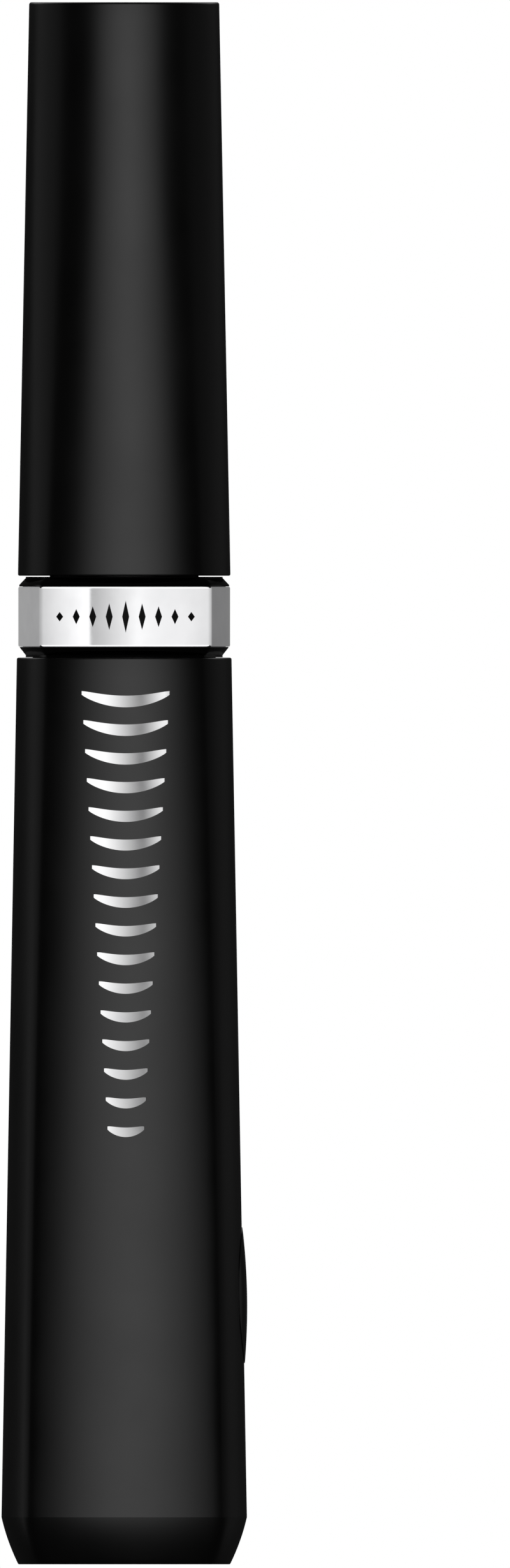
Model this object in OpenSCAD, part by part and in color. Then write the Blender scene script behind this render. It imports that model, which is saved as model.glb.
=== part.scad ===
// Mascara tube: near-square bottle, collar with a bright band, and a long screw cap
// that carries the rod and the brush. The origin is the centre of the foot, +Z is up.

/* [Overall] */
// Height of the closed tube
height = 128; // [120:0.5:134]
// Height of the bottle's shoulder, where the collar starts
shoulder_z = 74.3; // [74:0.1:74.6]
// Height of the cap's open rim
cap_rim_z = 81.0; // [80.9:0.1:81.3]
// Radius of a side's bulge at the foot, over the half width; 1 is a circle
foot_bulge = 1.88; // [1.2:0.01:2.4]

/* [Bottle] */
// Width of the bottle just above the foot chamfer
bottle_w = 20.12; // [19.4:0.02:21]
// Width of the bottle at its shoulder
shoulder_w = 17.6; // [17.3:0.02:18]
// Width of the flat under the foot
foot_w = 17.36; // [16.5:0.02:18.5]
// Height of the foot chamfer
foot_chamfer_h = 3.87; // [2.5:0.01:5]
// Thickness of the shell's floor
shell_floor = 1.0; // [0.9:0.05:1.05]

/* [Collar] */
// Width of the bright band across its flats
band_w = 17.36; // [17:0.02:17.5]
// Height at which the band starts
band_z = 75.2; // [75.1:0.1:75.4]
// Height of the band
band_h = 4.9; // [4.5:0.1:5]
// Width of the dark grooves at their narrowest
groove_w = 16.14; // [15.9:0.02:16.3]

/* [Vial and thread] */
// Radius of the reservoir's bore
reservoir_r = 6.6; // [6.4:0.05:6.65]
// Radius of the neck without its thread
neck_r = 6.1; // [6:0.05:6.15]
// Height of the neck's top
neck_top_z = 94; // [93.8:0.1:94.1]
// Axial travel of the cap in one turn
thread_lead = 3.0; // [2.8:0.05:3.2]

/* [Cap] */
// Width of the cap at its open rim
cap_rim_w = 17.42; // [17.2:0.02:17.7]
// Width of the cap at its closed end
cap_top_w = 15.58; // [15.2:0.02:16]

/* [Wand] */
// Diameter of the rod
rod_d = 4.78; // [4.7:0.01:4.8]
// Height of the brush's tip in the closed tube
brush_tip_z = 6.2; // [6.1:0.1:7]
// Length of the brush
brush_len = 23.85; // [22.9:0.05:25]
// Width of the brush core across its flats
core_w = 3.17; // [2.9:0.01:3.3]
// Number of bristles in a row
bristle_count = 24; // [12:1:24]
// Distance between bristles in a row
bristle_pitch = 0.96; // [0.94:0.01:0.96]
// Longest bristle tip from the brush's axis
bristle_reach = 4.12; // [3.8:0.01:4.4]

/* [Hidden] */
$fn = 96;

segments = 96;        // points round a shell's outline
shell_crisp = 56;     // how crisp the four corners of the shells are
bulge_fade = 1.6;     // how fast the bulge fades to a circle up the tube
band_crisp = 400;     // how crisp the four corners of the collar are
band_bulge = 1.82;    // radius of the collar's sides over its half width
edge_r = 0.15;        // softened rim edges of the shells
foot_lean = 0.49;     // outward slope of the foot chamfer where it starts
gap = 0.05;           // clearance between pressed or sliding pieces

// Bottle shell
pocket_r = 7.55;
label_r = 6.2;
label_recess = 0.15;

// Vial
vial_r = pocket_r - gap;
vial_floor = 0.7;
vial_shoulder_z = 71;
vial_neck_z = 72.3;
vial_bore_end_z = 70.6;
neck_bore_z = 72.6;
neck_bore_r = 4.75;
bead_z = 81.35;
bead_h = 0.6;
bead_out = 0.3;

// Side pad
pad_z = 22.05;
pad_half_h = 5.55;
pad_half_angle = 22;
pad_out = 0.28;
pad_edge = 0.04;      // thickness at the pad's rim
pad_seat = 0.02;      // glue gap under the pad

// Collar
collar_bore_r = neck_r + gap;
collar_top_z = cap_rim_z - 0.08;
collar_spigot_z = 72.55;
band_wall = 0.35;

// Thread: a ridge of trapezium section that winds round the axis
ridge_h = 0.6;
ridge_root = 1.1;
ridge_crest = 0.5;
ridge_sink = 0.2;     // how far a ridge reaches into the wall that carries it
neck_thread_z = 84.8;
neck_thread_turns = 1.25;
liner_thread_turns = 1.25;
thread_steps = 36;    // rings of the ridge in one turn

// Wiper
wiper_flange_r = 5.9;
wiper_flange_h = 0.6;
wiper_r = neck_bore_r - gap;
wiper_bore_r = 4.35;
wiper_funnel_z = 86.9;
wiper_lip_z = 84;
wiper_lip_h = 0.5;
wiper_lip_r = rod_d / 2 + 0.06;
wiper_wall = 0.35;

// Cap liner
liner_r = 7.55;
liner_bore_r = neck_r + ridge_h + 0.15;
liner_start_z = cap_rim_z + 0.6;
land_z = 95.4;
liner_top_z = 96.9;
socket_r = 4.5;
socket_top_z = 103;
spigot_r = 2.9;

// Cap shell
cap_pocket_r = liner_r + gap;
cap_step_z = 97.2;
cap_bore_r = 6.3;
cap_roof_z = height - 2.2;

// Cap weight
weight_z = 112;
weight_r = cap_bore_r - 0.1;
weight_bevel = 0.6;

// Rod
rod_r = rod_d / 2;
brush_end_z = brush_tip_z + brush_len;
rod_nose_r = 2.1;
rod_nose_h = 3.5;
plug_r = 4.05;
plug_z = 87.6;
plug_top_z = 90.6;
plug_cone_h = 2.1;
waist_r = 2.6;
ring_groove_z = 88.6;
ring_groove_h = 1.0;
ring_groove_depth = 0.6;
plug_ring_out = 4.30;
core_socket_r = 1.25;
core_socket_depth = 6;

// Gasket
gasket_z = neck_top_z + wiper_flange_h + 0.08;
gasket_h = 0.6;
gasket_r = 5.95;
gasket_bore_r = waist_r + 0.3;

// Brush
core_sides = 16;
core_tip_h = 0.8;
core_tip_w = 1.9;
bristle_first = [1.27, 0.83];   // first bristle of a row from the tip, by row kind
bristle_root_r = 0.14;
bristle_tip_r = 0.05;
bristle_sink = 0.12;

// Section of the tube for half width 1: a square whose four sides are arcs of radius
// bulge, with corners rounded less as crisp grows. At a bulge of 1 it is a circle.
function side_r(t, bulge) =
    sqrt(bulge * bulge - pow((bulge - 1) * sin(t), 2)) - (bulge - 1) * cos(t);
function two_sides_r(t, bulge, crisp) =
    pow(pow(side_r(t, bulge), -crisp) + pow(side_r(90 - t, bulge), -crisp), -1 / crisp);
function quarter_angle(t) = abs((t % 180 + 180 + 90) % 180 - 90);
function section_r(t, bulge, crisp) =
    two_sides_r(quarter_angle(t), bulge, crisp) / two_sides_r(0, bulge, crisp);

// The shells turn from a rounded square at the foot to a circle at the cap's closed end
function bulge_at(z) = 1 + (foot_bulge - 1) * pow(cos(90 * min(1, z / height)), bulge_fade);
function shell_r(t, z) = section_r(t, bulge_at(z), shell_crisp);

// Half width of the foot's chamfer, which bows out, of the bottle above it, and of the cap
function foot_bow() = (foot_w / 2 + foot_lean * foot_chamfer_h - bottle_w / 2) / pow(foot_chamfer_h, 2);
function foot_half(z) = foot_w / 2 + foot_lean * z - foot_bow() * z * z;
function bottle_half(z) =
    (bottle_w + (shoulder_w - bottle_w) * (z - foot_chamfer_h) / (shoulder_z - foot_chamfer_h)) / 2;
function cap_half(z) =
    (cap_rim_w + (cap_top_w - cap_rim_w) * (z - cap_rim_z) / (height - cap_rim_z)) / 2;

// Closed solid through rings of points. Each ring runs anticlockwise as seen from the
// ring after it.
module loft(rings) {
    n = len(rings[0]);
    last = (len(rings) - 1) * n;
    sides = [
        for (k = [0:len(rings) - 2])
            for (i = [0:n - 1])
                let (j = (i + 1) % n, low = k * n, high = low + n)
                [low + i, high + i, high + j, low + j]
    ];
    first_face = [for (i = [0:n - 1]) i];
    last_face = [for (i = [n - 1:-1:0]) last + i];
    polyhedron([for (ring = rings) for (p = ring) p], concat([first_face, last_face], sides));
}

// Lofts of the shells' section and of the collar's section through stations given as
// [z, half width]
module shell_loft(stations) {
    loft([
        for (st = stations) [
            for (i = [0:segments - 1])
                let (t = 360 * i / segments, r = st[1] * shell_r(t, st[0]))
                [r * cos(t), r * sin(t), st[0]]
        ]
    ]);
}

module collar_loft(stations) {
    loft([
        for (st = stations) [
            for (i = [0:segments - 1])
                let (t = 360 * i / segments, r = st[1] * section_r(t, band_bulge, band_crisp))
                [r * cos(t), r * sin(t), st[0]]
        ]
    ]);
}

// The collar's outline, w across its sides, as four true arcs
module collar_outline(w) {
    side_arc_r = band_bulge * w / 2;
    intersection_for(a = [0:90:270])
        rotate(a)
            translate([w / 2 - side_arc_r, 0])
                circle(r = side_arc_r);
}

module bottle_outer() {
    body_zs = [for (i = [0:5]) foot_chamfer_h + i * (shoulder_z - edge_r - foot_chamfer_h) / 5];
    foot_zs = [for (i = [0:3]) edge_r + i * (foot_chamfer_h - edge_r) / 4];
    shell_loft(concat(
        [[0, foot_w / 2 - edge_r]],
        [for (z = foot_zs) [z, foot_half(z)]],
        [for (z = body_zs) [z, bottle_half(z)]],
        [[shoulder_z, bottle_half(shoulder_z) - edge_r]]
    ));
}

module cap_outer() {
    body_zs = [for (i = [0:5]) cap_rim_z + edge_r + i * (height - cap_rim_z - 2 * edge_r) / 5];
    shell_loft(concat(
        [[cap_rim_z, cap_half(cap_rim_z) - edge_r]],
        [for (z = body_zs) [z, cap_half(z)]],
        [[height, cap_half(height) - edge_r]]
    ));
}

// Ridge of a right-hand screw thread on a wall of radius root_r. It points out for
// side = 1 and in for side = -1.
module thread_ridge(root_r, side, start_z, turns) {
    foot_r = root_r - side * ridge_sink;
    crest_r = root_r + side * ridge_h;
    section = [
        [foot_r, -side * ridge_root / 2], [foot_r, side * ridge_root / 2],
        [crest_r, side * ridge_crest / 2], [crest_r, -side * ridge_crest / 2]
    ];
    loft([
        for (i = [0:round(turns * thread_steps)])
            let (a = 360 * i / thread_steps, z = start_z + thread_lead * i / thread_steps)
            [for (p = section) [p[0] * cos(a), p[0] * sin(a), z + p[1]]]
    ]);
}

module bottle_shell() {
    color([0.05, 0.05, 0.055])
        difference() {
            bottle_outer();
            translate([0, 0, shell_floor])
                cylinder(r = pocket_r, h = shoulder_z);
            translate([0, 0, -1])
                cylinder(r = label_r + 0.1, h = 1 + label_recess);
        }
}

module base_label() {
    color([0.75, 0.75, 0.76])
        translate([0, 0, 0.03])
            cylinder(r = label_r, h = label_recess - 0.03);
}

module inner_vial() {
    color([0.12, 0.12, 0.13])
        union() {
            rotate_extrude()
                polygon([
                    [0, shell_floor], [vial_r, shell_floor], [vial_r, vial_shoulder_z],
                    [neck_r, vial_neck_z], [neck_r, bead_z],
                    [neck_r + bead_out, bead_z + bead_h / 3],
                    [neck_r + bead_out, bead_z + bead_h * 2 / 3], [neck_r, bead_z + bead_h],
                    [neck_r, neck_top_z], [neck_bore_r, neck_top_z],
                    [neck_bore_r, neck_bore_z], [reservoir_r, vial_bore_end_z],
                    [reservoir_r, shell_floor + vial_floor], [0, shell_floor + vial_floor]
                ]);
            thread_ridge(neck_r, 1, neck_thread_z, neck_thread_turns);
        }
}

module collar_ring() {
    groove_half = groove_w / 2;
    flare_half = band_w / 2 - 0.01;
    core_half = band_w / 2 - band_wall;
    band_top_z = band_z + band_h;
    color([0.02, 0.02, 0.02])
        difference() {
            union() {
                translate([0, 0, collar_spigot_z])
                    cylinder(r = pocket_r - gap, h = shoulder_z - collar_spigot_z + 0.1);
                collar_loft([
                    [shoulder_z + 0.02, groove_half], [shoulder_z + 0.2, groove_half],
                    [band_z - 0.02, flare_half], [band_z - 0.02, core_half],
                    [band_top_z + 0.02, core_half], [band_top_z + 0.02, flare_half],
                    [band_top_z + 0.15, flare_half], [collar_top_z - 0.1, groove_half],
                    [collar_top_z, groove_half]
                ]);
            }
            translate([0, 0, collar_spigot_z - 1])
                cylinder(r = collar_bore_r, h = cap_rim_z - collar_spigot_z + 2);
        }
}

module silver_band() {
    color([0.85, 0.85, 0.87])
        translate([0, 0, band_z])
            linear_extrude(height = band_h)
                difference() {
                    collar_outline(band_w);
                    collar_outline(band_w - 2 * band_wall + 0.04);
                }
}

module wiper() {
    color([0.8, 0.8, 0.8])
        rotate_extrude()
            polygon([
                [wiper_bore_r, neck_top_z + wiper_flange_h],
                [wiper_bore_r, wiper_funnel_z],
                [wiper_lip_r, wiper_lip_z + wiper_lip_h],
                [wiper_lip_r, wiper_lip_z],
                [wiper_lip_r + wiper_wall, wiper_lip_z],
                [wiper_r, wiper_funnel_z - 0.2],
                [wiper_r, neck_top_z + 0.02],
                [wiper_flange_r, neck_top_z + 0.02],
                [wiper_flange_r, neck_top_z + wiper_flange_h]
            ]);
}

// Low lens that follows the bottle's +X face: rings of points over an oval patch, twice,
// once on the outside and once against the shell
module side_pad() {
    rings = 6;
    spokes = 32;
    function pad_point(share, phi, lift) =
        let (
            t = pad_half_angle * share * cos(phi),
            z = pad_z + pad_half_h * share * sin(phi),
            r = bottle_half(z) * shell_r(t, z) + lift
        )
        [r * cos(t), r * sin(t), z];
    function pad_side(outer) = concat(
        [pad_point(0, 0, pad_seat + (outer ? pad_edge + pad_out : 0))],
        [for (k = [1:rings])
            for (i = [0:spokes - 1])
                let (share = k / rings)
                pad_point(share, 360 * i / spokes,
                    pad_seat + (outer ? pad_edge + pad_out * (1 - share * share) : 0))]
    );
    half_n = 1 + rings * spokes;
    function ring_id(k, i) = 1 + (k - 1) * spokes + i % spokes;
    outer_faces = concat(
        [for (i = [0:spokes - 1]) [0, ring_id(1, i + 1), ring_id(1, i)]],
        [for (k = [1:rings - 1])
            for (i = [0:spokes - 1])
                [ring_id(k, i), ring_id(k, i + 1), ring_id(k + 1, i + 1), ring_id(k + 1, i)]]
    );
    inner_faces = [for (f = outer_faces) [for (n = [len(f) - 1:-1:0]) f[n] + half_n]];
    rim_faces = [for (i = [0:spokes - 1])
        [ring_id(rings, i), ring_id(rings, i + 1),
         ring_id(rings, i + 1) + half_n, ring_id(rings, i) + half_n]];
    color([0.03, 0.03, 0.03])
        polyhedron(concat(pad_side(true), pad_side(false)),
            concat(outer_faces, inner_faces, rim_faces));
}

module cap_shell() {
    color([0.05, 0.05, 0.055])
        difference() {
            cap_outer();
            translate([0, 0, cap_rim_z - 1])
                cylinder(r = cap_pocket_r, h = cap_step_z - cap_rim_z + 1);
            translate([0, 0, cap_rim_z])
                cylinder(r = cap_bore_r, h = cap_roof_z - cap_rim_z);
        }
}

module cap_liner() {
    liner_thread_z = neck_thread_z + thread_lead / 2;
    color([0.06, 0.06, 0.06])
        union() {
            rotate_extrude()
                polygon([
                    [liner_bore_r, liner_start_z], [liner_r, liner_start_z],
                    [liner_r, liner_top_z], [socket_r, liner_top_z],
                    [socket_r, socket_top_z], [spigot_r + gap, socket_top_z],
                    [spigot_r + gap, land_z], [liner_bore_r, land_z]
                ]);
            thread_ridge(liner_bore_r, -1, liner_thread_z, liner_thread_turns);
        }
}

module cap_weight() {
    weight_top = cap_roof_z - gap;
    color([0.6, 0.6, 0.62])
        rotate_extrude()
            polygon([
                [0, weight_z], [weight_r - weight_bevel, weight_z],
                [weight_r, weight_z + weight_bevel], [weight_r, weight_top - weight_bevel],
                [weight_r - weight_bevel, weight_top], [0, weight_top]
            ]);
}

module rod() {
    color([0.04, 0.04, 0.04])
        rotate_extrude()
            polygon([
                [core_socket_r, brush_end_z], [rod_nose_r - 0.1, brush_end_z],
                [rod_nose_r, brush_end_z + 0.1], [rod_r, brush_end_z + rod_nose_h],
                [rod_r, plug_z - plug_cone_h], [plug_r, plug_z],
                [plug_r, ring_groove_z], [plug_r - ring_groove_depth, ring_groove_z],
                [plug_r - ring_groove_depth, ring_groove_z + ring_groove_h],
                [plug_r, ring_groove_z + ring_groove_h], [plug_r, plug_top_z],
                [waist_r, plug_top_z], [waist_r, land_z - 0.1], [spigot_r, land_z],
                [spigot_r, socket_top_z - 0.2], [0, socket_top_z - 0.2],
                [0, brush_end_z + core_socket_depth],
                [core_socket_r, brush_end_z + core_socket_depth]
            ]);
}

module brush_core() {
    stations = [
        [brush_tip_z, core_tip_w], [brush_tip_z + core_tip_h, core_w], [brush_end_z, core_w]
    ];
    color([0.06, 0.06, 0.06])
        union() {
            loft([
                for (st = stations) [
                    for (i = [0.5:core_sides - 0.5])
                        let (t = 360 * i / core_sides, r = st[1] / 2 / cos(180 / core_sides))
                        [r * cos(t), r * sin(t), st[0]]
                ]
            ]);
            translate([0, 0, brush_end_z - 0.5])
                cylinder(r = core_socket_r - 0.02, h = core_socket_depth + 0.3);
        }
}

// Reach of a bristle at distance d from the brush's tip: longest in the middle
function reach(d) =
    let (x = (d - brush_len / 2) / (brush_len / 2))
    bristle_reach - 0.72 * pow(abs(x), 3);

// One row of bristles at angle a round the brush, kind 0 or 1 sets the first place
module bristle_row(a, kind) {
    root = core_w / 2 - bristle_sink;
    color([0.02, 0.02, 0.02])
        for (i = [0:bristle_count - 1])
            let (d = bristle_first[kind] + i * bristle_pitch)
            translate([0, 0, brush_tip_z + d])
                rotate([0, 90, a])
                    translate([0, 0, root])
                        cylinder(r1 = bristle_root_r, r2 = bristle_tip_r,
                            h = reach(d) - root, $fn = 16);
}

module bristles_front() { bristle_row(-90, 0); }
module bristles_left() { bristle_row(180, 1); }
module bristles_right() { bristle_row(2, 0); }
module bristles_front_right() { bristle_row(-40, 1); }
module bristles_back_left() { bristle_row(121, 0); }
module bristles_back() { bristle_row(90, 1); }

module neck_gasket() {
    color([0.85, 0.85, 0.8])
        translate([0, 0, gasket_z])
            difference() {
                cylinder(r = gasket_r, h = gasket_h);
                translate([0, 0, -1])
                    cylinder(r = gasket_bore_r, h = gasket_h + 2);
            }
}

module plug_ring() {
    groove_r = plug_r - ring_groove_depth;
    ring_mid_r = (groove_r + gap + plug_ring_out) / 2;
    ring_wire_r = (plug_ring_out - groove_r - gap) / 2;
    color([0.15, 0.15, 0.15])
        translate([0, 0, ring_groove_z + ring_groove_h / 2])
            rotate_extrude()
                translate([ring_mid_r, 0])
                    circle(r = ring_wire_r, $fn = 32);
}

bottle_shell();
base_label();
inner_vial();
collar_ring();
silver_band();
wiper();
side_pad();
cap_shell();
cap_liner();
cap_weight();
rod();
brush_core();
bristles_front();
bristles_left();
bristles_right();
bristles_front_right();
bristles_back_left();
bristles_back();
neck_gasket();
plug_ring();
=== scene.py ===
"""Mascara tube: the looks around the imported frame. Sizes are in metres; +Z is up and -Y is the front."""
import math

import bmesh
import bpy
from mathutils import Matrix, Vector


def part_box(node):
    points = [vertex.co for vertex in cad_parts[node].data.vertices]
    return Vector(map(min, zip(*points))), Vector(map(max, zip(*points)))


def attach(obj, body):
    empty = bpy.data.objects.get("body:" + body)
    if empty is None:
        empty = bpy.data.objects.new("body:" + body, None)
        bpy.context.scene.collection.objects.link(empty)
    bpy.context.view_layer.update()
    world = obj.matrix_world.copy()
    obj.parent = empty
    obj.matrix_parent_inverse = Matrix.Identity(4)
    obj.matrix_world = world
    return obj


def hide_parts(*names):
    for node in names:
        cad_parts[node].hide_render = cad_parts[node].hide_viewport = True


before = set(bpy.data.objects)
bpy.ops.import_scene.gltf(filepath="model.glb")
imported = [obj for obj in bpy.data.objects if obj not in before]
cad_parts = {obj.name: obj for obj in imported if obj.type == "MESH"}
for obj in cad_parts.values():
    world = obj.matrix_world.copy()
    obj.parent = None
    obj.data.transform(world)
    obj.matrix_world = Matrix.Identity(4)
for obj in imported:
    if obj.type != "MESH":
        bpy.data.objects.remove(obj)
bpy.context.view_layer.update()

MM = 0.001
TAU = 2 * math.pi
scene = bpy.context.scene
scene.view_settings.view_transform = "Standard"

# ---------------------------------------------------------------- sizes from the frame
CAP_LO, CAP_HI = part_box("cap_shell")
BAND_LO, BAND_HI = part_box("silver_band")
COLLAR_LO, COLLAR_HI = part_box("collar_ring")
VIAL_LO, VIAL_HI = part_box("inner_vial")
WIPER_LO, WIPER_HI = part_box("wiper")
LINER_LO, LINER_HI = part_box("cap_liner")
ROD_LO, ROD_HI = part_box("rod")
WEIGHT_LO, WEIGHT_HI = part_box("cap_weight")
GASKET_LO, GASKET_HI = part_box("neck_gasket")
RING_LO, RING_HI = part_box("plug_ring")
LABEL_LO, LABEL_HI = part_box("base_label")
PAD_LO, PAD_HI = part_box("side_pad")
HEIGHT = CAP_HI.z
RIM_Z = CAP_LO.z
SHOULDER_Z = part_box("bottle_shell")[1].z
TIP_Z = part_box("brush_core")[0].z

# The section, as the CAD has it. A bulge of 1 is a circle; a larger one is a square with flatter sides.
FOOT_BULGE = 1.88
BULGE_FADE = 1.6
SHELL_CRISP = 56             # how crisp the corners are
BAND_BULGE = 1.82
BAND_CRISP = 400

CHAMFER_TOP_Z = 3.87 * MM
BOTTLE_HALF = 10.06 * MM
SHOULDER_HALF = 8.80 * MM
FOOT_HALF = 8.68 * MM
FOOT_LEAN = 0.49             # slope of the bowed chamfer at the foot
CAP_RIM_HALF = 8.71 * MM
CAP_TOP_HALF = 7.79 * MM
POCKET_R = 7.55 * MM
THREAD_LEAD = 3.0 * MM


# ---------------------------------------------------------------- camera
FRAME_H = 0.12848            # height of the view
VIEW_X = 0.01072             # the tube stands left of the frame's middle
VIEW_Z = 0.06394
VIEW_TURN = math.radians(-0.8)   # the view is a little from the left
CAMERA_DISTANCE = 1.2


def make_camera():
    """A level, parallel view, as in a catalogue picture."""
    data = bpy.data.cameras.new("camera")
    data.type = "ORTHO"
    data.ortho_scale = FRAME_H
    data.clip_start = 0.01
    data.clip_end = CAMERA_DISTANCE * 4
    cam = bpy.data.objects.new("camera", data)
    c, s = math.cos(VIEW_TURN), math.sin(VIEW_TURN)
    cam.location = (VIEW_X * c + CAMERA_DISTANCE * s, VIEW_X * s - CAMERA_DISTANCE * c, VIEW_Z)
    cam.rotation_euler = (math.pi / 2, 0, VIEW_TURN)
    scene.collection.objects.link(cam)
    scene.camera = cam


make_camera()


# ---------------------------------------------------------------- section of the tube
def side_r(t, bulge):
    """Radius at angle t of the arched side that faces angle 0, for half width 1."""
    return math.sqrt(bulge ** 2 - ((bulge - 1) * math.sin(t)) ** 2) - (bulge - 1) * math.cos(t)


def two_sides_r(t, bulge, crisp):
    """Radius of two neighbouring sides with a smooth corner between them."""
    other = math.pi / 2 - t
    total = side_r(t, bulge) ** -crisp + side_r(other, bulge) ** -crisp
    return total ** (-1 / crisp)


def section_r(t, bulge, crisp):
    """Radius at angle t of a square with arched sides, for half width 1."""
    quarter = abs((t + math.pi / 2) % math.pi - math.pi / 2)
    return two_sides_r(quarter, bulge, crisp) / two_sides_r(0, bulge, crisp)


def bulge_at(z):
    """The shells' bulge, which fades to a circle at the cap's closed end."""
    share = max(0.0, min(1.0, z / HEIGHT))
    return 1 + (FOOT_BULGE - 1) * max(0.0, math.cos(math.pi / 2 * share)) ** BULGE_FADE


def bottle_half(z):
    share = (z - CHAMFER_TOP_Z) / (SHOULDER_Z - CHAMFER_TOP_Z)
    return BOTTLE_HALF + (SHOULDER_HALF - BOTTLE_HALF) * share


def foot_half(z):
    """Half width of the foot's chamfer, which bows out a little."""
    bow = (FOOT_HALF + FOOT_LEAN * CHAMFER_TOP_Z - BOTTLE_HALF) / CHAMFER_TOP_Z ** 2
    return FOOT_HALF + FOOT_LEAN * z - bow * z * z


def cap_half(z):
    share = (z - RIM_Z) / (HEIGHT - RIM_Z)
    return CAP_RIM_HALF + (CAP_TOP_HALF - CAP_RIM_HALF) * share


# ---------------------------------------------------------------- mesh helpers
LATHE_STEPS = 128
SECTION_STEPS = 288


def new_object(name, bm, sharp_deg=35, weighted=True):
    """Makes a smooth-shaded mesh object with edges sharper than sharp_deg kept sharp."""
    mesh = bpy.data.meshes.new(name)
    bmesh.ops.remove_doubles(bm, verts=bm.verts, dist=1e-7)
    bmesh.ops.recalc_face_normals(bm, faces=bm.faces)
    bm.to_mesh(mesh)
    bm.free()
    mesh.shade_smooth()
    mesh.set_sharp_from_angle(angle=math.radians(sharp_deg))
    obj = bpy.data.objects.new(name, mesh)
    scene.collection.objects.link(obj)
    if weighted:
        normals = obj.modifiers.new("normals", "WEIGHTED_NORMAL")
        normals.keep_sharp = True
    return obj


def join_rings(bm, rings, closed=False):
    """Quads between rings of points that all have the same count. closed joins the last to the first."""
    made = [[bm.verts.new(p) for p in ring] for ring in rings]
    pairs = list(zip(made, made[1:]))
    if closed:
        pairs.append((made[-1], made[0]))
    for low, high in pairs:
        for i in range(len(low)):
            j = (i + 1) % len(low)
            bm.faces.new((low[i], low[j], high[j], high[i]))
    return made


def rounded(points, steps=6):
    """Turns [(r, z, fillet), ...] into (r, z) points, with an arc at each corner that has a fillet."""
    out = []
    for i, (r, z, fillet) in enumerate(points):
        here = Vector((r, z))
        if fillet <= 0 or i in (0, len(points) - 1):
            out.append((r, z))
            continue
        before = Vector(points[i - 1][:2]) - here
        after = Vector(points[i + 1][:2]) - here
        half = before.angle(after) / 2
        back = min(fillet / math.tan(half), before.length * 0.49, after.length * 0.49)
        radius = back * math.tan(half)
        centre = here + (before.normalized() + after.normalized()).normalized() * (radius / math.sin(half))
        start = here + before.normalized() * back - centre
        end = here + after.normalized() * back - centre
        turn = start.angle_signed(end)
        for k in range(steps + 1):
            a = -turn * k / steps
            c, s = math.cos(a), math.sin(a)
            out.append((centre.x + start.x * c - start.y * s, centre.y + start.x * s + start.y * c))
    return out


def lathe(name, points, sharp_deg=35):
    """Solid of revolution about Z from a closed (r, z, fillet) outline in millimetres."""
    outline = rounded([(r * MM, z * MM, f * MM) for r, z, f in points])
    bm = bmesh.new()
    columns = []
    for i in range(LATHE_STEPS):
        a = TAU * i / LATHE_STEPS
        columns.append([bm.verts.new((r * math.cos(a), r * math.sin(a), z)) for r, z in outline])
    on_axis = [r < 1e-9 for r, _ in outline]
    sides = list(zip(columns, columns[1:] + columns[:1]))
    for left, right in sides:
        for k in range(len(outline) - 1):
            if not (on_axis[k] and on_axis[k + 1]):
                bm.faces.new((left[k], right[k], right[k + 1], left[k + 1]))
    if not on_axis[0]:
        for left, right in sides:
            bm.faces.new((left[-1], right[-1], right[0], left[0]))
    bmesh.ops.remove_doubles(bm, verts=bm.verts, dist=1e-8)
    bmesh.ops.dissolve_degenerate(bm, edges=bm.edges, dist=1e-9)
    return new_object(name, bm, sharp_deg)


def section_ring(half, z, bulge, crisp, segments):
    ring = []
    for i in range(segments):
        t = TAU * i / segments
        r = half * section_r(t, bulge, crisp)
        ring.append((r * math.cos(t), r * math.sin(t), z))
    return ring


def section_solid(name, stations):
    """Closed shell through stations (half width, z, bulge, crisp); both ends are capped by a fan."""
    bm = bmesh.new()
    rings = join_rings(bm, [section_ring(*station, SECTION_STEPS) for station in stations])
    for ring in (rings[0], rings[-1]):
        centre = bm.verts.new(sum((v.co for v in ring), Vector()) / len(ring))
        for i in range(len(ring)):
            bm.faces.new((ring[i], ring[(i + 1) % len(ring)], centre))
    return new_object(name, bm)


def section_tube(name, stations, segments=SECTION_STEPS):
    """As section_solid, but the last station joins the first, which makes a ring-shaped solid."""
    bm = bmesh.new()
    join_rings(bm, [section_ring(*station, segments) for station in stations], closed=True)
    return new_object(name, bm)


def stations_from(outline, section):
    """Stations from (half width, z) points, each with the section that section(z) gives."""
    return [(h, z, *section(z)) for h, z in outline]


def finish_piece(obj, material, body, slot, *nodes):
    """Gives a piece its material and body, and hides the nodes that it replaces. The slot argument is not
    used.
    """
    obj.data.materials.append(material)
    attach(obj, body)
    if nodes:
        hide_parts(*nodes)
    return obj


# ---------------------------------------------------------------- materials
def base_material(name, color, roughness, metallic=0.0, specular=0.5):
    """A Principled material with its coordinates node. The colour and roughness get patterns later."""
    mat = bpy.data.materials.new(name)
    mat.use_nodes = True
    tree = mat.node_tree
    shader = tree.nodes["Principled BSDF"]
    shader.inputs["Base Color"].default_value = (*color, 1)
    shader.inputs["Roughness"].default_value = roughness
    shader.inputs["Metallic"].default_value = metallic
    shader.inputs["Specular IOR Level"].default_value = specular
    coords = tree.nodes.new("ShaderNodeTexCoord")
    return mat, tree, shader, coords


def noise(tree, coords, scale, stretch=(1, 1, 1), detail=3):
    """Noise over the piece's own coordinates; scale is in cycles a metre."""
    mapping = tree.nodes.new("ShaderNodeMapping")
    mapping.inputs["Scale"].default_value = stretch
    tex = tree.nodes.new("ShaderNodeTexNoise")
    tex.inputs["Scale"].default_value = scale
    tex.inputs["Detail"].default_value = detail
    tex.inputs["Roughness"].default_value = 0.55
    tree.links.new(coords.outputs["Object"], mapping.inputs["Vector"])
    tree.links.new(mapping.outputs["Vector"], tex.inputs["Vector"])
    return tex.outputs["Fac"]


def ramp_value(tree, source, low, high, start=0.35, end=0.65):
    """Maps a pattern's range from start to end onto the values from low to high."""
    node = tree.nodes.new("ShaderNodeMapRange")
    node.inputs["From Min"].default_value = start
    node.inputs["From Max"].default_value = end
    node.inputs["To Min"].default_value = low
    node.inputs["To Max"].default_value = high
    tree.links.new(source, node.inputs["Value"])
    return node.outputs["Result"]


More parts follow.
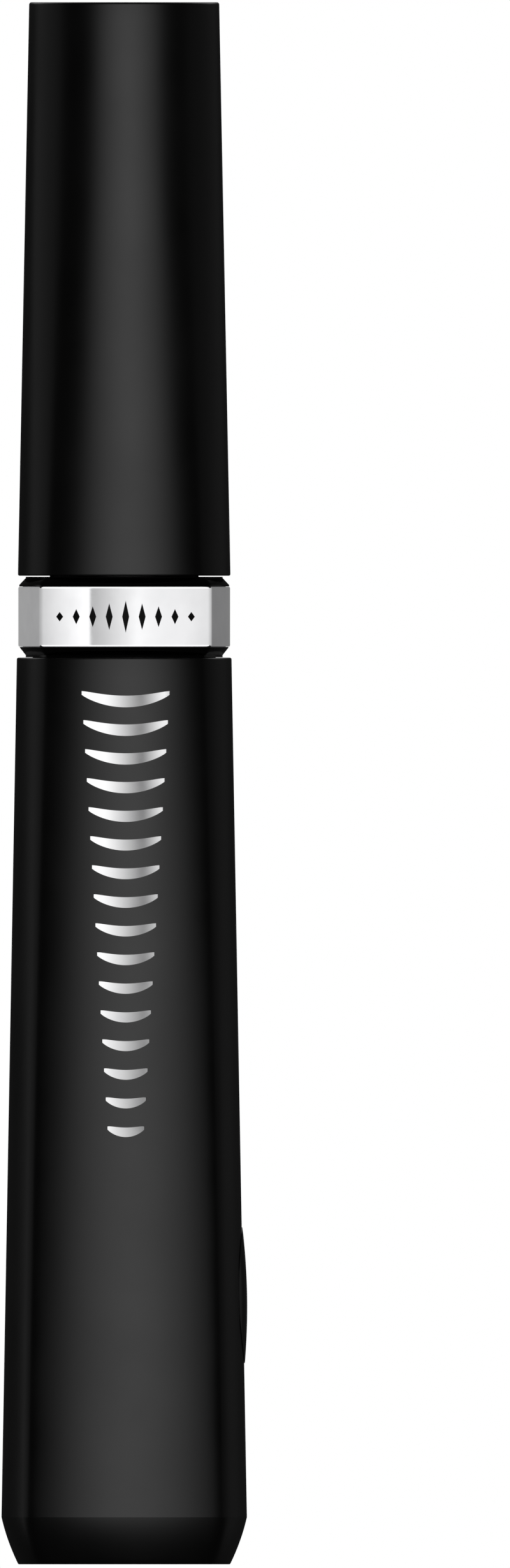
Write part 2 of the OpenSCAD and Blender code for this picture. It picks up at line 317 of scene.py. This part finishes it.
def ramp_color(tree, source, dark, light):
    """Maps a pattern's middle range onto the colours from dark to light."""
    ramp = tree.nodes.new("ShaderNodeValToRGB")
    ramp.color_ramp.elements[0].position = 0.3
    ramp.color_ramp.elements[0].color = (*dark, 1)
    ramp.color_ramp.elements[1].position = 0.7
    ramp.color_ramp.elements[1].color = (*light, 1)
    tree.links.new(source, ramp.inputs["Fac"])
    return ramp.outputs["Color"]


def add_bump(tree, shader, source, distance):
    bump = tree.nodes.new("ShaderNodeBump")
    bump.inputs["Distance"].default_value = distance
    bump.inputs["Strength"].default_value = 1.0
    tree.links.new(source, bump.inputs["Height"])
    tree.links.new(bump.outputs["Normal"], shader.inputs["Normal"])


def moulded(name, dark, light, rough_low, rough_high, grain=9000, grain_h=4e-6, patches=260, specular=0.5):
    """Moulded plastic or rubber: slow colour and gloss patches, and a fine surface grain."""
    mat, tree, shader, coords = base_material(name, light, rough_high, specular=specular)
    slow = noise(tree, coords, patches)
    fine = noise(tree, coords, grain, detail=2)
    tree.links.new(ramp_color(tree, slow, dark, light), shader.inputs["Base Color"])
    tree.links.new(ramp_value(tree, slow, rough_low, rough_high), shader.inputs["Roughness"])
    add_bump(tree, shader, fine, grain_h)
    return mat


def polished(name, dark, light, rough_low, rough_high, line_h=4e-7):
    """Bright metal with very fine lines round the piece and slow gloss patches."""
    mat, tree, shader, coords = base_material(name, light, rough_high, metallic=1.0)
    slow = noise(tree, coords, 300)
    fine = noise(tree, coords, 900, stretch=(1, 1, 60), detail=2)
    tree.links.new(ramp_color(tree, slow, dark, light), shader.inputs["Base Color"])
    tree.links.new(ramp_value(tree, slow, rough_low, rough_high), shader.inputs["Roughness"])
    add_bump(tree, shader, fine, line_h)
    return mat


def make_materials():
    return {
        "shell": moulded("satin_black", (0.0012, 0.0012, 0.0012), (0.0020, 0.0020, 0.0020), 0.30, 0.34,
                         grain=14000, grain_h=1.5e-6, patches=120),
        "gloss": moulded("gloss_black", (0.0015, 0.0015, 0.0015), (0.0025, 0.0025, 0.0025), 0.14, 0.20,
                         grain=6000, grain_h=6e-7),
        "print": moulded("print_black", (0.0015, 0.0015, 0.0015), (0.003, 0.003, 0.003), 0.45, 0.55,
                         grain=9000, grain_h=5e-7, specular=0.12),
        "rod": moulded("rod_black", (0.0025, 0.0025, 0.0026), (0.004, 0.004, 0.004), 0.12, 0.17,
                       grain=5000, grain_h=6e-7, patches=400),
        "band": polished("band_silver", (0.78, 0.78, 0.79), (0.86, 0.86, 0.87), 0.07, 0.10),
        "foil": polished("foil_silver", (0.80, 0.80, 0.81), (0.90, 0.90, 0.90), 0.13, 0.19, line_h=6e-7),
        "vial": moulded("vial_plastic", (0.012, 0.012, 0.0125), (0.02, 0.02, 0.021), 0.28, 0.38,
                        grain=5000, grain_h=2e-6),
        "liner": moulded("liner_plastic", (0.014, 0.014, 0.014), (0.022, 0.022, 0.022), 0.36, 0.46,
                         grain=5000, grain_h=3e-6),
        "wiper": moulded("wiper_elastomer", (0.55, 0.55, 0.53), (0.66, 0.66, 0.64), 0.38, 0.5,
                         grain=4000, grain_h=3e-6),
        "gasket": moulded("gasket_foam", (0.70, 0.70, 0.67), (0.82, 0.82, 0.79), 0.7, 0.85,
                          grain=5200, grain_h=2.5e-5),
        "seal": moulded("seal_rubber", (0.010, 0.010, 0.010), (0.018, 0.018, 0.018), 0.42, 0.55,
                        grain=7000, grain_h=4e-6),
        "weight": polished("turned_steel", (0.45, 0.45, 0.46), (0.56, 0.56, 0.57), 0.24, 0.36, line_h=3e-6),
        "core": moulded("brush_core_plastic", (0.003, 0.003, 0.003), (0.005, 0.005, 0.005), 0.17, 0.22,
                        grain=7000, grain_h=8e-7, patches=500),
        "bristle": moulded("bristle_elastomer", (0.004, 0.004, 0.004), (0.008, 0.008, 0.008), 0.36, 0.48,
                           grain=16000, grain_h=2e-6, patches=900),
        "label": moulded("label_film", (0.60, 0.60, 0.61), (0.70, 0.70, 0.71), 0.32, 0.42,
                         grain=5000, grain_h=2e-6),
    }


MATS = make_materials()


# ---------------------------------------------------------------- shells
def spaced(low, high, count):
    """Evenly spaced numbers from low to high, both included."""
    return [low + (high - low) * i / (count - 1) for i in range(count)]


def shell_section(z):
    return bulge_at(z), SHELL_CRISP


def make_bottle_shell():
    recess_r = LABEL_HI.x + 0.1 * MM
    recess_z = LABEL_HI.z
    floor_z = VIAL_LO.z
    chamfer = [(foot_half(z), z, 0) for z in spaced(0, CHAMFER_TOP_Z, 12)[1:-1]]
    wall = [(bottle_half(z), z, 0) for z in spaced(CHAMFER_TOP_Z, SHOULDER_Z, 40)[1:-1]]
    outer = rounded(
        [(FOOT_HALF * 0.9, 0, 0), (FOOT_HALF, 0, 0.14 * MM)]
        + chamfer
        + [(BOTTLE_HALF, CHAMFER_TOP_Z, 0.35 * MM)]
        + wall
        + [(SHOULDER_HALF, SHOULDER_Z, 0.16 * MM), (POCKET_R + 0.45 * MM, SHOULDER_Z, 0)]
    )
    stations = [(recess_r * 0.5, recess_z, 1, SHELL_CRISP), (recess_r, recess_z, 1, SHELL_CRISP),
                (recess_r, 0, 1, SHELL_CRISP)]
    stations += stations_from(outer, shell_section)
    stations += [(POCKET_R, SHOULDER_Z, 1, SHELL_CRISP), (POCKET_R, floor_z, 1, SHELL_CRISP)]
    shell = section_solid("bottle_shell_skin", stations)
    finish_piece(shell, MATS["shell"], "bottle", "shell_plastic", "bottle_shell")


def make_cap_shell():
    liner_pocket_r = LINER_HI.x + 0.05 * MM
    bore_r = WEIGHT_HI.x + 0.1 * MM
    step_z = LINER_LO.z + 15.6 * MM
    roof_z = WEIGHT_HI.z + 0.05 * MM
    wall = [(cap_half(z), z, 0) for z in spaced(RIM_Z, HEIGHT, 30)[1:-1]]
    outer = rounded(
        [(liner_pocket_r + 0.2 * MM, RIM_Z, 0), (CAP_RIM_HALF, RIM_Z, 0.14 * MM)]
        + wall
        + [(CAP_TOP_HALF, HEIGHT, 0.2 * MM), (CAP_TOP_HALF * 0.85, HEIGHT, 0)]
    )
    stations = [(bore_r * 0.6, roof_z, 1, SHELL_CRISP), (bore_r, roof_z, 1, SHELL_CRISP),
                (bore_r, step_z, 1, SHELL_CRISP),
                (liner_pocket_r, step_z, 1, SHELL_CRISP), (liner_pocket_r, RIM_Z, 1, SHELL_CRISP)]
    stations += stations_from(outer, shell_section)
    shell = section_solid("cap_shell_skin", stations)
    finish_piece(shell, MATS["shell"], "wand", "shell_plastic", "cap_shell")


# ---------------------------------------------------------------- collar and band
def collar_section(z):
    return BAND_BULGE, BAND_CRISP


def make_collar():
    bore = 6.15 * MM
    spigot = POCKET_R - 0.05 * MM
    groove = 8.07 * MM
    flare = BAND_HI.x - 0.07 * MM
    core = BAND_HI.x - 0.35 * MM
    gap = 0.02 * MM
    low, high = BAND_LO.z, BAND_HI.z
    outline = rounded([
        (groove, SHOULDER_Z + gap, 0), (groove, SHOULDER_Z + 0.2 * MM, 0.05 * MM),
        (flare, low - gap, 0.05 * MM), (core, low - gap, 0),
        (core, high + gap, 0), (flare, high + gap, 0.04 * MM),
        (flare, high + 0.15 * MM, 0.05 * MM), (groove, COLLAR_HI.z - 0.1 * MM, 0.05 * MM),
        (groove, COLLAR_HI.z, 0.03 * MM), (bore + 0.2 * MM, COLLAR_HI.z, 0),
    ], steps=4)
    stations = [(spigot, SHOULDER_Z + gap, 1, BAND_CRISP)]
    stations += stations_from(outline, collar_section)
    stations += [(bore, COLLAR_HI.z, 1, BAND_CRISP), (bore, COLLAR_LO.z, 1, BAND_CRISP),
                 (spigot, COLLAR_LO.z, 1, BAND_CRISP)]
    collar = section_tube("collar_ring_body", stations)
    finish_piece(collar, MATS["gloss"], "bottle", "collar_plastic", "collar_ring")


def make_band():
    outer, inner = BAND_HI.x, BAND_HI.x - 0.33 * MM
    low, high = BAND_LO.z, BAND_HI.z
    middle = (low + high) / 2
    bevel, bevel_h = 0.05 * MM, 0.12 * MM
    outline = rounded([
        (inner, middle, 0), (inner, low, 0.03 * MM), (outer - bevel, low, 0.02 * MM),
        (outer, low + bevel_h, 0.03 * MM), (outer, high - bevel_h, 0.03 * MM),
        (outer - bevel, high, 0.02 * MM), (inner, high, 0.03 * MM), (inner, middle + 1e-6, 0),
    ], steps=4)
    band = section_tube("silver_band_sleeve", stations_from(outline, collar_section), segments=384)
    finish_piece(band, MATS["band"], "bottle", "band_metal", "silver_band")


# ---------------------------------------------------------------- screw threads
NECK_R = 6.1                 # in millimetres, like the lathe outlines
LINER_BORE_R = 6.85
NECK_THREAD_Z = 84.8 * MM
THREAD_TURNS = 1.25


def thread_ridge(bm, root_r, side, start_z):
    """Adds a right-hand ridge that stands out from root_r if side is 1, or in from it if side is -1."""
    steps_a_turn = 96
    runout = 0.12            # share of a turn over which each end fades
    height, sink = 0.6 * MM, 0.1 * MM
    root_w, crest_w = 1.1 * MM, 0.5 * MM
    rings = []
    for i in range(round(THREAD_TURNS * steps_a_turn) + 1):
        turn = i / steps_a_turn
        fade = min(1.0, turn / runout, (THREAD_TURNS - turn) / runout)
        fade = math.sin(math.pi / 2 * max(0.02, fade))
        a, z = TAU * turn, start_z + THREAD_LEAD * turn
        profile = rounded([
            (-sink, -root_w / 2 - sink, 0), (0, -root_w / 2, 0.05 * MM),
            (height * fade, -crest_w / 2, 0.10 * MM), (height * fade, crest_w / 2, 0.10 * MM),
            (0, root_w / 2, 0.05 * MM), (-sink, root_w / 2 + sink, 0),
        ], steps=4)
        rings.append([
            ((root_r + side * out) * math.cos(a), (root_r + side * out) * math.sin(a), z + up)
            for out, up in profile
        ])
    made = join_rings(bm, rings)
    for ring in (made[0], made[-1]):
        bm.faces.new(ring)


def add_thread(obj, root_r, side, start_z):
    """Joins a ridge to a turned piece."""
    bm = bmesh.new()
    bm.from_mesh(obj.data)
    thread_ridge(bm, root_r, side, start_z)
    bmesh.ops.recalc_face_normals(bm, faces=bm.faces)
    bm.to_mesh(obj.data)
    bm.free()
    obj.data.shade_smooth()
    obj.data.set_sharp_from_angle(angle=math.radians(40))


def in_mm(low, high):
    """Bottom, top and radius of a turned piece's box, in millimetres."""
    return low.z / MM, high.z / MM, high.x / MM


def make_vial():
    low, high, r = in_mm(VIAL_LO, VIAL_HI)
    vial = lathe("inner_vial_body", [
        (0, low, 0), (r, low, 0.4), (r, 71, 0.6), (NECK_R, 72.3, 0.3), (NECK_R, 81.35, 0.05),
        (6.4, 81.55, 0.08), (6.4, 81.75, 0.08), (NECK_R, 81.95, 0.05), (NECK_R, high, 0.15),
        (4.75, high, 0.1), (4.75, 72.6, 0.3), (6.6, 70.6, 0.8), (6.6, low + 0.7, 0.8), (0, low + 0.7, 0),
    ])
    add_thread(vial, NECK_R * MM, 1, NECK_THREAD_Z)
    finish_piece(vial, MATS["vial"], "bottle", "vial_plastic", "inner_vial")


def make_liner():
    low, high, r = in_mm(LINER_LO, LINER_HI)
    liner = lathe("cap_liner_body", [
        (LINER_BORE_R, low, 0.1), (r, low, 0.1), (r, 96.9, 0.2), (4.5, 96.9, 0.3), (4.5, high, 0.3),
        (2.95, high, 0.15), (2.95, 95.4, 0.1), (LINER_BORE_R, 95.4, 0.3), (LINER_BORE_R, 88, 0),
    ])
    add_thread(liner, LINER_BORE_R * MM, -1, NECK_THREAD_Z + THREAD_LEAD / 2)
    finish_piece(liner, MATS["liner"], "wand", "liner_plastic", "cap_liner")


def make_wiper():
    low, high, r = in_mm(WIPER_LO, WIPER_HI)
    wiper = lathe("wiper_sleeve", [
        (4.35, high, 0.25), (4.35, 86.9, 0.5), (2.45, low + 0.5, 0.1), (2.45, low, 0.1), (2.8, low, 0.1),
        (4.70, 86.7, 0.3), (4.70, 94.02, 0), (r, 94.02, 0.1), (r, high, 0.22), (5.0, high, 0),
    ])
    finish_piece(wiper, MATS["wiper"], "bottle", "wiper_rubber", "wiper")


def make_label():
    low, high, r = in_mm(LABEL_LO, LABEL_HI)
    label = lathe("base_label_disc", [(0, low, 0), (r, low, 0.02), (r, high, 0.02), (0, high, 0)])
    finish_piece(label, MATS["label"], "bottle", "label", "base_label")


def make_seals():
    low, high, r = in_mm(GASKET_LO, GASKET_HI)
    gasket = lathe("neck_gasket_washer", [
        (2.9, low, 0.08), (r, low, 0.12), (r, high, 0.12), (2.9, high, 0.08), (2.9, low + 0.3, 0),
    ])
    finish_piece(gasket, MATS["gasket"], "gasket", "gasket_foam", "neck_gasket")
    low, high, r = in_mm(RING_LO, RING_HI)
    wire_r = (high - low) / 2
    mid_r, mid_z = r - wire_r, (high + low) / 2
    circle = [(mid_r + wire_r * math.cos(a), mid_z + wire_r * math.sin(a), 0)
              for a in (TAU * i / 24 for i in range(24))]
    ring = lathe("plug_ring_seal", circle, sharp_deg=80)
    finish_piece(ring, MATS["seal"], "plug_seal", "ring_rubber", "plug_ring")


def make_weight():
    low, high, r = in_mm(WEIGHT_LO, WEIGHT_HI)
    weight = lathe("cap_weight_slug", [
        (0, low + 0.5, 0), (1.2, low + 0.5, 0.1), (1.6, low, 0.1), (r - 0.6, low, 0.1), (r, low + 0.6, 0.1),
        (r, high - 0.6, 0.1), (r - 0.6, high, 0.1), (0, high, 0),
    ])
    finish_piece(weight, MATS["weight"], "wand", "weight_metal", "cap_weight")


# ---------------------------------------------------------------- rod and brush
BRUSH_LEN = ROD_LO.z - TIP_Z
CORE_HALF = 1.585 * MM
CORE_SIDES = 16


def make_rod():
    end, top, plug_r = in_mm(ROD_LO, ROD_HI)
    stem_r = 2.39
    rod = lathe("rod_stem", [
        (0, end + 6, 0), (1.25, end + 6, 0), (1.25, end, 0.05), (2.0, end, 0.3), (2.12, end + 0.5, 0.8),
        (stem_r, end + 3.5, 8), (stem_r, 85.5, 0.8),
        (plug_r, 87.6, 0.5), (plug_r, 88.6, 0.08), (3.45, 88.6, 0.08), (3.45, 89.6, 0.08),
        (plug_r, 89.6, 0.08), (plug_r, 90.6, 0.15), (2.6, 90.6, 0.15), (2.6, 95.3, 0.1),
        (2.9, 95.4, 0), (2.9, top, 0.3), (0, top, 0),
    ])
    finish_piece(rod, MATS["rod"], "wand", "rod_plastic", "rod")


def make_core():
    """Faceted core. Each facet is flat to 0.40 of its width either side of its middle, then turns."""
    bm = bmesh.new()
    tip_half = 0.95 * MM
    leans = [lean * TAU / CORE_SIDES for lean in (-0.46, -0.40, 0.40, 0.46)]
    outline = rounded([
        (tip_half * 0.5, TIP_Z, 0), (tip_half, TIP_Z, 0.12 * MM), (CORE_HALF, TIP_Z + 0.8 * MM, 0.25 * MM),
        (CORE_HALF, TIP_Z + BRUSH_LEN - 0.05 * MM, 0),
    ])
    corner = 1 / math.cos(math.pi / CORE_SIDES)
    cut = 0.995              # the corners are cut back a little
    rings = []
    for half, z in outline:
        ring = []
        for i in range(CORE_SIDES):
            for lean in leans:
                a = TAU * i / CORE_SIDES + lean
                r = min(half / math.cos(lean), half * corner * cut)
                ring.append((r * math.cos(a), r * math.sin(a), z))
        rings.append(ring)
    made = join_rings(bm, rings)
    for ring in (made[0], made[-1]):
        bm.faces.new(ring)
    core = new_object("brush_core_body", bm, sharp_deg=50)
    finish_piece(core, MATS["core"], "wand", "brush_plastic", "brush_core")


BRISTLE_PITCH = 0.96 * MM
BRISTLE_COUNT = 24
BRISTLE_REACH = 4.12 * MM
BRISTLE_FIRST = (1.27 * MM, 0.83 * MM)   # neighbouring rows are staggered
BRISTLE_SHAFT = 0.132        # radius in millimetres, above the flare at the foot
BRISTLE_FLARE = ((0, 1), (0.05, 0.55), (0.12, 0.2))
BRISTLE_TAPER = ((0.30, 0.120), (0.50, 0.110), (0.60, 0.103), (0.66, 0.100), (0.72, 0.096),
                 (0.80, 0.085), (0.92, 0.062), (0.98, 0.045), (1.0, 0.015))
BARB_SWELL = 0.13            # in millimetres
BARB_SPAN = 0.14             # share of the bristle's length on each side of the barb's middle


def bristle_reach(d):
    """How far from the brush's axis a bristle at distance d from the tip reaches."""
    end_drop = 0.72 * MM
    x = (d - BRUSH_LEN / 2) / (BRUSH_LEN / 2)
    return BRISTLE_REACH - end_drop * abs(x) ** 3


def add_bristle(bm, place, out, up, length, lean, barb_side, barb_at, root):
    """A tapered bristle with one barb. out points away from the brush, up along it; lean bends the tip
    along up; barb_side is 1 or -1 along up; root is the radius of its foot, in millimetres."""
    across = out.cross(up)
    sides = 10
    flare = [(share, BRISTLE_SHAFT + (root - BRISTLE_SHAFT) * part) for share, part in BRISTLE_FLARE]
    rings = []
    for share, radius in (*flare, *BRISTLE_TAPER):
        centre = place + out * (length * share) + up * (lean * share * share)
        near = max(0.0, 1 - abs(share - barb_at) / BARB_SPAN)
        ring = []
        for k in range(sides):
            a = TAU * k / sides
            facing = max(0.0, math.cos(a) * barb_side)
            r = (radius + BARB_SWELL * facing ** 2 * near) * MM
            ring.append(centre + up * (r * math.cos(a)) + across * (r * math.sin(a)))
        rings.append(ring)
    made = join_rings(bm, rings)
    for ring in (made[0], made[-1]):
        bm.faces.new(ring)


def make_bristle_row(name, angle_deg, kind, barb_side, barb_at, root, node):
    """A row of bristles up the core. kind picks the stagger and which way the tips bend."""
    a = math.radians(angle_deg)
    out, up = Vector((math.cos(a), math.sin(a), 0)), Vector((0, 0, 1))
    foot = CORE_HALF - 0.06 * MM     # sunk into the core
    bm = bmesh.new()
    for i in range(BRISTLE_COUNT):
        d = BRISTLE_FIRST[kind] + i * BRISTLE_PITCH
        place = out * foot + up * (TIP_Z + d)
        lean = 0.10 * MM * (1 if kind else -1)
        add_bristle(bm, place, out, up, bristle_reach(d) - foot, lean, barb_side, barb_at, root)
    row = new_object(name, bm, sharp_deg=60, weighted=False)
    finish_piece(row, MATS["bristle"], "wand", "bristle_plastic", node)


# name, angle in degrees, kind, side of the barb, share of the length where it stands, root radius in
# millimetres, and the node replaced
BRISTLE_ROWS = (
    ("bristle_row_front", -90, 0, 1, 0.75, 0.135, "bristles_front"),
    ("bristle_row_left", 180, 1, -1, 0.70, 0.16, "bristles_left"),
    ("bristle_row_right", 2, 0, 1, 0.75, 0.16, "bristles_right"),
    ("bristle_row_front_right", -40, 1, -1, 0.72, 0.30, "bristles_front_right"),
    ("bristle_row_back_left", 121, 0, 1, 0.75, 0.16, "bristles_back_left"),
    ("bristle_row_back", 90, 1, -1, 0.72, 0.20, "bristles_back"),
)


# ---------------------------------------------------------------- trim on the bottle
def make_pad():
    """Low lens on the +X side: rings over an oval patch of the shell. The first is a sunk skirt."""
    rings_n, spokes = 24, 96
    z_mid, half_h = (PAD_LO.z + PAD_HI.z) / 2, (PAD_HI.z - PAD_LO.z) / 2
    half_angle = math.radians(22)
    sunk, edge, lift = 0.05 * MM, 0.06 * MM, 0.28 * MM
    bm = bmesh.new()
    rings = []
    for share in [1.0] + [k / rings_n for k in range(rings_n, 0, -1)]:
        rise = edge + lift * (1 - share * share) if rings else -sunk
        ring = []
        for i in range(spokes):
            phi = TAU * i / spokes
            t = half_angle * share * math.cos(phi)
            z = z_mid + half_h * share * math.sin(phi)
            r = bottle_half(z) * section_r(t, bulge_at(z), SHELL_CRISP) + rise
            ring.append((r * math.cos(t), r * math.sin(t), z))
        rings.append(ring)
    made = join_rings(bm, rings)
    top = bm.verts.new((bottle_half(z_mid) + edge + lift, 0, z_mid))
    for i in range(spokes):
        bm.faces.new((made[-1][i], made[-1][(i + 1) % spokes], top))
    bm.faces.new(made[0])
    pad = new_object("side_pad_lens", bm)
    finish_piece(pad, MATS["gloss"], "bottle", "pad_plastic", "side_pad")


def side_y(x, half, bulge):
    """Depth at x of the arched side that faces the front."""
    return half * (bulge - 1) - math.sqrt((half * bulge) ** 2 - x * x)


def bottle_front_y(x, z):
    return side_y(x, bottle_half(z), bulge_at(z))


def band_front_y(x, z):
    return side_y(x, BAND_HI.x, BAND_BULGE)


def inlay(bm, stations, front_y, lift, sink=0.02 * MM):
    """Thin raised patch on a front face, through stations (x, lower z, upper z)."""
    rings = []
    for x, low, high in stations:
        rings.append([
            (x, front_y(x, low) + sink, low), (x, front_y(x, low) - lift, low),
            (x, front_y(x, high) - lift, high), (x, front_y(x, high) + sink, high),
        ])
    made = join_rings(bm, rings)
    for ring in (made[0], made[-1]):
        bm.faces.new(ring)


def make_foil():
    """Plain foil ornament on the bottle: upturned crescents that widen towards the shoulder."""
    count, steps = 16, 32
    low, high = 35.4 * MM, 70.7 * MM
    bm = bmesh.new()
    for n in range(count):
        share = n / (count - 1)
        base_z = low + (high - low) * share
        half_w = (1.5 + 2.1 * share) * MM
        sag = (0.35 + 0.35 * share) * MM
        thick = (0.78 + 0.17 * share) * MM
        stations = []
        for i in range(steps + 1):
            u = -1 + 2 * i / steps
            middle = base_z + sag * u * u
            half_t = thick / 2 * math.sqrt(1 - 0.9 * u * u)
            stations.append((half_w * u, middle - half_t, middle + half_t))
        inlay(bm, stations, bottle_front_y, 0.012 * MM)
    foil = new_object("foil_ornament", bm, sharp_deg=30, weighted=False)
    finish_piece(foil, MATS["foil"], "bottle", "band_metal")


def make_band_print():
    """Plain printed ornament on the band: a row of upright lozenges, the tallest in the middle."""
    middle_z = (BAND_LO.z + BAND_HI.z) / 2
    pitch, half_w = 1.35 * MM, 0.28 * MM
    bm = bmesh.new()
    for n in range(-4, 5):
        half_h = (1.30 - 0.23 * abs(n)) * MM
        stations = []
        for u in (-1, -0.5, 0, 0.5, 1):
            reach = half_h * (1.02 - abs(u))
            stations.append((n * pitch + half_w * u, middle_z - reach, middle_z + reach))
        inlay(bm, stations, band_front_y, 0.008 * MM)
    ornament = new_object("band_ornament", bm, sharp_deg=30, weighted=False)
    finish_piece(ornament, MATS["print"], "bottle", "collar_plastic")


# ---------------------------------------------------------------- stage and light
LOOK_AT_Z = HEIGHT / 2
LAMP_DISTANCE = 1.0
CARD_HEIGHT = 1.4


def make_floor():
    """Pale floor for the camera only, so that it throws no light up at the tube. It glows,
    more from 3 to 30 centimetres away from the tube's axis."""
    material, tree, shader, coords = base_material("floor_white", (0.9, 0.9, 0.9), 0.9, specular=0.0)
    tree.links.new(ramp_color(tree, noise(tree, coords, 8), (0.88, 0.88, 0.88), (0.9, 0.9, 0.9)),
                   shader.inputs["Base Color"])
    distance = tree.nodes.new("ShaderNodeVectorMath")
    distance.operation = "LENGTH"
    tree.links.new(coords.outputs["Object"], distance.inputs[0])
    glow = ramp_value(tree, distance.outputs["Value"], 0.80, 1.02, start=0.03, end=0.30)
    shader.inputs["Emission Color"].default_value = (1, 1, 1, 1)
    tree.links.new(glow, shader.inputs["Emission Strength"])
    bm = bmesh.new()
    bmesh.ops.create_circle(bm, cap_ends=True, radius=3.0, segments=96)
    floor = new_object("floor", bm, weighted=False)
    floor.data.materials.append(material)
    floor.visible_glossy = False
    floor.visible_diffuse = False
    floor.visible_shadow = False
    return floor


def collection_of(name, objects, state):
    """A collection for light linking: it takes in or leaves out the objects, as state says."""
    group = bpy.data.collections.new(name)
    for obj in objects:
        group.objects.link(obj)
    for item in group.collection_objects:
        item.light_linking.link_state = state
    return group


def soft_light(name, turn, rise, size, power, spread=180, ends=None, only=(), skip=()):
    """Softbox facing the tube. turn is its angle from the view towards +X and rise its angle above
    level, in degrees. ends scales the brightness at its two upright edges. only and skip are the
    objects that it lights alone or leaves out."""
    data = bpy.data.lights.new(name, "AREA")
    data.shape = "RECTANGLE"
    data.size, data.size_y = size
    data.spread = math.radians(spread)
    data.energy = power
    lamp = bpy.data.objects.new(name, data)
    level = LAMP_DISTANCE * math.cos(math.radians(rise))
    angle = math.radians(turn) + VIEW_TURN
    lamp.location = (level * math.sin(angle), -level * math.cos(angle),
                     LOOK_AT_Z + LAMP_DISTANCE * math.sin(math.radians(rise)))
    aim = Vector((0, 0, LOOK_AT_Z)) - lamp.location
    lamp.rotation_euler = aim.to_track_quat("-Z", "Y").to_euler()
    lamp.visible_camera = False
    scene.collection.objects.link(lamp)
    if ends:
        data.use_nodes = True
        tree = data.node_tree
        across = tree.nodes.new("ShaderNodeNewGeometry")
        split = tree.nodes.new("ShaderNodeSeparateXYZ")
        tree.links.new(across.outputs["Parametric"], split.inputs["Vector"])
        value = ramp_value(tree, split.outputs["X"], *ends, start=0, end=1)
        tree.links.new(value, tree.nodes["Emission"].inputs["Strength"])
    if only:
        lamp.light_linking.receiver_collection = collection_of(name + "_only", only, "INCLUDE")
    if skip:
        lamp.light_linking.receiver_collection = collection_of(name + "_skip", skip, "EXCLUDE")


def card(name, start, end, bright_start, bright_end, piece):
    """Upright softbox that lights one piece alone, for the reflection in it. start and end are its
    edges' angles from the view, in degrees, and the brightness changes evenly between them."""
    width = 2 * LAMP_DISTANCE * math.tan(math.radians(end - start) / 2)
    bright = max(bright_start, bright_end)
    soft_light(name, (start + end) / 2, 0, (width, CARD_HEIGHT), math.pi * width * CARD_HEIGHT * bright,
               ends=(bright_start / bright, bright_end / bright), only=(piece,))


def make_world():
    """White to the camera, dim to the surfaces."""
    dim = 0.015
    world = bpy.data.worlds.new("studio")
    world.use_nodes = True
    tree = world.node_tree
    background = tree.nodes["Background"]
    background.inputs["Color"].default_value = (1, 1, 1, 1)
    rays = tree.nodes.new("ShaderNodeLightPath")
    strength = ramp_value(tree, rays.outputs["Is Camera Ray"], dim, 1.0, start=0, end=1)
    tree.links.new(strength, background.inputs["Strength"])
    scene.world = world


def make_lights(floor):
    band, foil = bpy.data.objects["silver_band_sleeve"], bpy.data.objects["foil_ornament"]
    rod, core = bpy.data.objects["rod_stem"], bpy.data.objects["brush_core_body"]
    collar = bpy.data.objects["collar_ring_body"]
    apart = (band, foil, floor, rod, core)
    soft_light("key_front", 5, 0, (2.4, 1.2), 3.30, spread=88, skip=(*apart, collar))
    soft_light("side_left", -106, 0, (0.95, 0.75), 0.325, skip=apart)
    soft_light("side_right", 113, 0, (1.35, 0.75), 0.205, ends=(1.05, 0.6), skip=apart)
    soft_light("top_back", 180, 43, (2.2, 0.8), 4.3, skip=(band, foil, floor, collar))
    soft_light("floor_wash", 0, 90, (2.4, 2.4), 9.0, only=(floor,))
    card("band_left", -55, -19.7, 0.62, 1.35, band)
    card("band_middle", -19.7, 9, 0.53, 1.15, band)
    card("band_right", 9, 56, 1.15, 0.88, band)
    card("foil_left", -55, -12, 1.2, 1.2, foil)
    card("foil_middle", -12, 13, 1.18, 0.18, foil)
    card("foil_right", 13, 34, 0.18, 1.40, foil)
    card("band_far_right", 56, 120, 0.80, 0.40, band)
    card("band_back_right", 120, 180, 0.22, 0.20, band)
    card("band_back_left", -180, -120, 0.34, 0.40, band)
    card("band_far_left", -120, -55, 0.40, 0.60, band)
    soft_light("band_below", 0, -49, (2.4, 0.8), 8.0, only=(band,))
    soft_light("band_above", 0, 49, (2.4, 0.8), 8.0, only=(band,))
    card("rod_left", -33.5, 3, 4.1, 4.1, rod)
    card("rod_right", 3, 28, 4.1, 0.02, rod)
    card("rod_mid_left", -89, -34, 0.28, 0.07, rod)
    card("rod_mid_right", 30, 105, 0.07, 0.22, rod)
    card("rod_far_left", -135, -89, 0.55, 0.90, rod)
    card("rod_far_right", 105, 150, 0.40, 0.45, rod)
    card("core_middle", -9, 9, 7.0, 7.0, core)
    card("core_left", -105, -9, 0.40, 0.40, core)
    card("core_right", 9, 105, 0.46, 0.46, core)


make_bottle_shell()
make_cap_shell()
make_collar()
make_band()
make_vial()
make_liner()
make_wiper()
make_label()
make_seals()
make_weight()
make_rod()
make_core()
for row in BRISTLE_ROWS:
    make_bristle_row(*row)
make_pad()
make_foil()
make_band_print()
make_world()
make_lights(make_floor())
